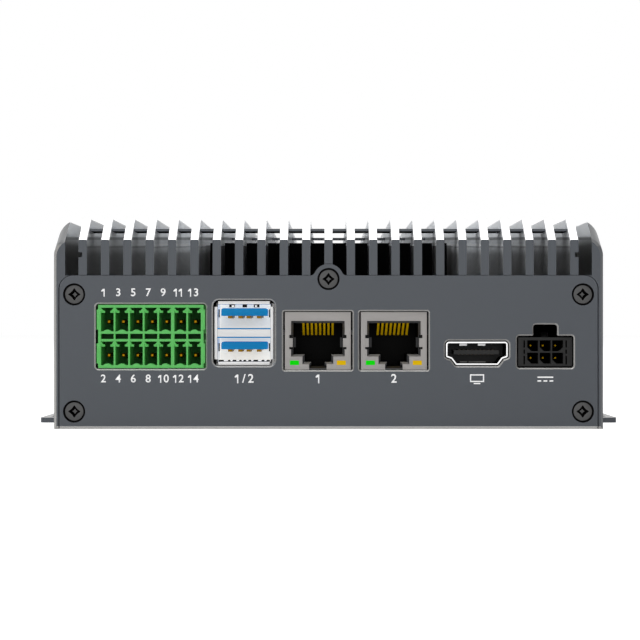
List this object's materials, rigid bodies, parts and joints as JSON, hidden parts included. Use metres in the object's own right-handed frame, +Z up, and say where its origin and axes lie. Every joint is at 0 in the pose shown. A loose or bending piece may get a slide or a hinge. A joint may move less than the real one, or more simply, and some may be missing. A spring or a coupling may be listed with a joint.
{
  "type": "fanless industrial pc",
  "caption": "Small fanless industrial computer in a finned aluminium housing with a connector panel on the front and mounting ears along its base.",
  "frame": {"origin": "centre of the underside, on the surface that the housing stands on", "axes": "+X to the right when facing the connector panel, +Y from the connector panel to the rear, +Z up through the fins"},
  "size_m": [0.1484, 0.11, 0.051],
  "materials": {
    "anodised_aluminium": "slate grey satin anodised, bare bright metal on machined edges",
    "black_screw_steel": "black oxide",
    "plated_steel": "bright plated",
    "standoff_brass": "turned",
    "circuit_board": "glass fibre board with solder mask",
    "black_plastic": "moulded",
    "chip_black": "moulded epoxy",
    "processor_lid": "plated",
    "pad_grey": "soft silicone",
    "capacitor_can": "bright can",
    "terminal_green": "moulded",
    "gold_plate": "gold plated",
    "port_metal": "bright nickel plated sheet",
    "jack_metal": "satin nickel plated sheet",
    "port_blue": "moulded",
    "light_green": "lit window",
    "light_amber": "lit window"
  },
  "bodies": {
    "root": {"heatsink_cover": "anodised_aluminium", "front_panel": "anodised_aluminium", "rear_panel": "anodised_aluminium", "bottom_cover": "anodised_aluminium", "front_panel_screws": "black_screw_steel", "rear_panel_screws": "black_screw_steel", "bottom_cover_screws": "black_screw_steel", "board_screws": "plated_steel", "module_screws": "plated_steel", "storage_screw": "plated_steel", "clock_battery": "plated_steel", "board_standoffs": "standoff_brass", "module_posts": "standoff_brass", "storage_post": "standoff_brass", "main_board": "circuit_board", "compute_module_board": "circuit_board", "storage_card": "circuit_board", "module_socket": "black_plastic", "storage_socket": "black_plastic", "battery_holder": "black_plastic", "left_jack_insert": "black_plastic", "right_jack_insert": "black_plastic", "video_socket_insert": "black_plastic", "video_socket_foot": "black_plastic", "power_inlet_housing": "black_plastic", "memory_chips": "chip_black", "storage_chips": "chip_black", "power_inductors": "chip_black", "processor_package": "processor_lid", "thermal_pad": "pad_grey", "capacitors": "capacitor_can", "terminal_block": "terminal_green", "terminal_pins": "gold_plate", "double_port_contacts": "gold_plate", "left_jack_contacts": "gold_plate", "right_jack_contacts": "gold_plate", "video_socket_contacts": "gold_plate", "power_inlet_pins": "gold_plate", "double_port_shell": "port_metal", "video_socket_shell": "port_metal", "left_jack_shell": "jack_metal", "right_jack_shell": "jack_metal", "double_port_tongues": "port_blue", "green_light_windows": "light_green", "amber_light_windows": "light_amber"}
  },
  "joints": []
}
